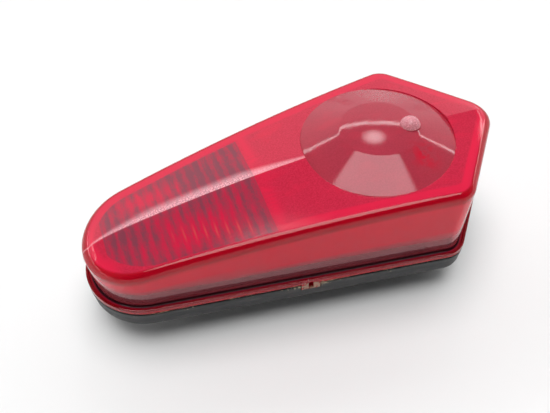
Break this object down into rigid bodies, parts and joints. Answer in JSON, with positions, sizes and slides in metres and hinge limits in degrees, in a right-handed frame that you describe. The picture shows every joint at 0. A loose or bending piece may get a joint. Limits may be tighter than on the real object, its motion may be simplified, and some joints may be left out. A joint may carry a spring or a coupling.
{
  "type": "tail light",
  "caption": "Vehicle tail light: kite-shaped ridged red lens with a raised round window on a shallow black housing with bulb, twist-in socket and rubber-mounted studs.",
  "frame": {"origin": "middle of the footprint, on the surface the lamp stands on when it lies on its back", "axes": "+X along the lamp from its round nose to its pointed tail, +Y across it, +Z out of the lens"},
  "size_m": [0.1892, 0.0888, 0.0719],
  "materials": {
    "red_lens": "gloss, transparent red plastic",
    "sealant": "rough",
    "black_plastic": "satin",
    "reflector_metal": "polished",
    "grey_plastic": "satin",
    "rubber": "matt",
    "steel": "zinc plated",
    "bakelite": "satin",
    "clear_glass": "clear",
    "black_glass": "gloss",
    "brass": "dull",
    "solder": "dull",
    "wire": "drawn",
    "tungsten": "dark"
  },
  "bodies": {
    "lamp_body": {"lens": "red_lens", "weld_bead": "sealant", "rear_housing": "black_plastic", "reflector": "reflector_metal", "stud_1": "steel", "isolator_1": "rubber", "washer_1": "steel", "nut_1": "steel", "stud_2": "steel", "isolator_2": "rubber", "washer_2": "steel", "nut_2": "steel", "stud_3": "steel", "isolator_3": "rubber", "washer_3": "steel", "nut_3": "steel"},
    "socket": {"socket_body": "grey_plastic", "socket_gasket": "rubber", "socket_shell": "steel", "terminal_tail": "brass", "terminal_earth": "brass", "terminal_stop": "brass", "contact_spring_tail": "steel", "contact_spring_stop": "steel"},
    "contact_carrier": {"contact_plate": "bakelite", "contact_rivet_tail": "brass", "contact_rivet_stop": "brass"},
    "bulb": {"bulb_glass": "clear_glass", "bulb_stem": "clear_glass", "bulb_base": "brass", "bulb_insulator": "black_glass", "bulb_contact_tail": "solder", "bulb_contact_stop": "solder", "lead_wire_tail": "wire", "lead_wire_stop": "wire", "filament_tail": "tungsten", "filament_stop": "tungsten", "bulb_pin_upper": "brass", "bulb_pin_lower": "brass"}
  },
  "joints": [
    {"name": "socket_twist", "type": "hinge", "parent": "lamp_body", "child": "socket", "pos_m": [0.0385, 0, 0.0133], "axis": [0, 0, 1], "range_deg": [0, 45]},
    {"name": "bulb_push", "type": "slide", "parent": "socket", "child": "bulb", "axis": [0, 0, 1], "range_m": [-0.002, 0], "stiffness_N_per_m": 2500, "springref_m": 0.002},
    {"name": "contact_plate_slide", "type": "slide", "parent": "socket", "child": "contact_carrier", "axis": [0, 0, 1], "range_m": [-0.002, 0], "deforming": ["contact_spring_tail", "contact_spring_stop"]}
  ],
  "couplings": [
    {"joint": "contact_plate_slide", "follows": "bulb_push", "ratio": 1}
  ]
}
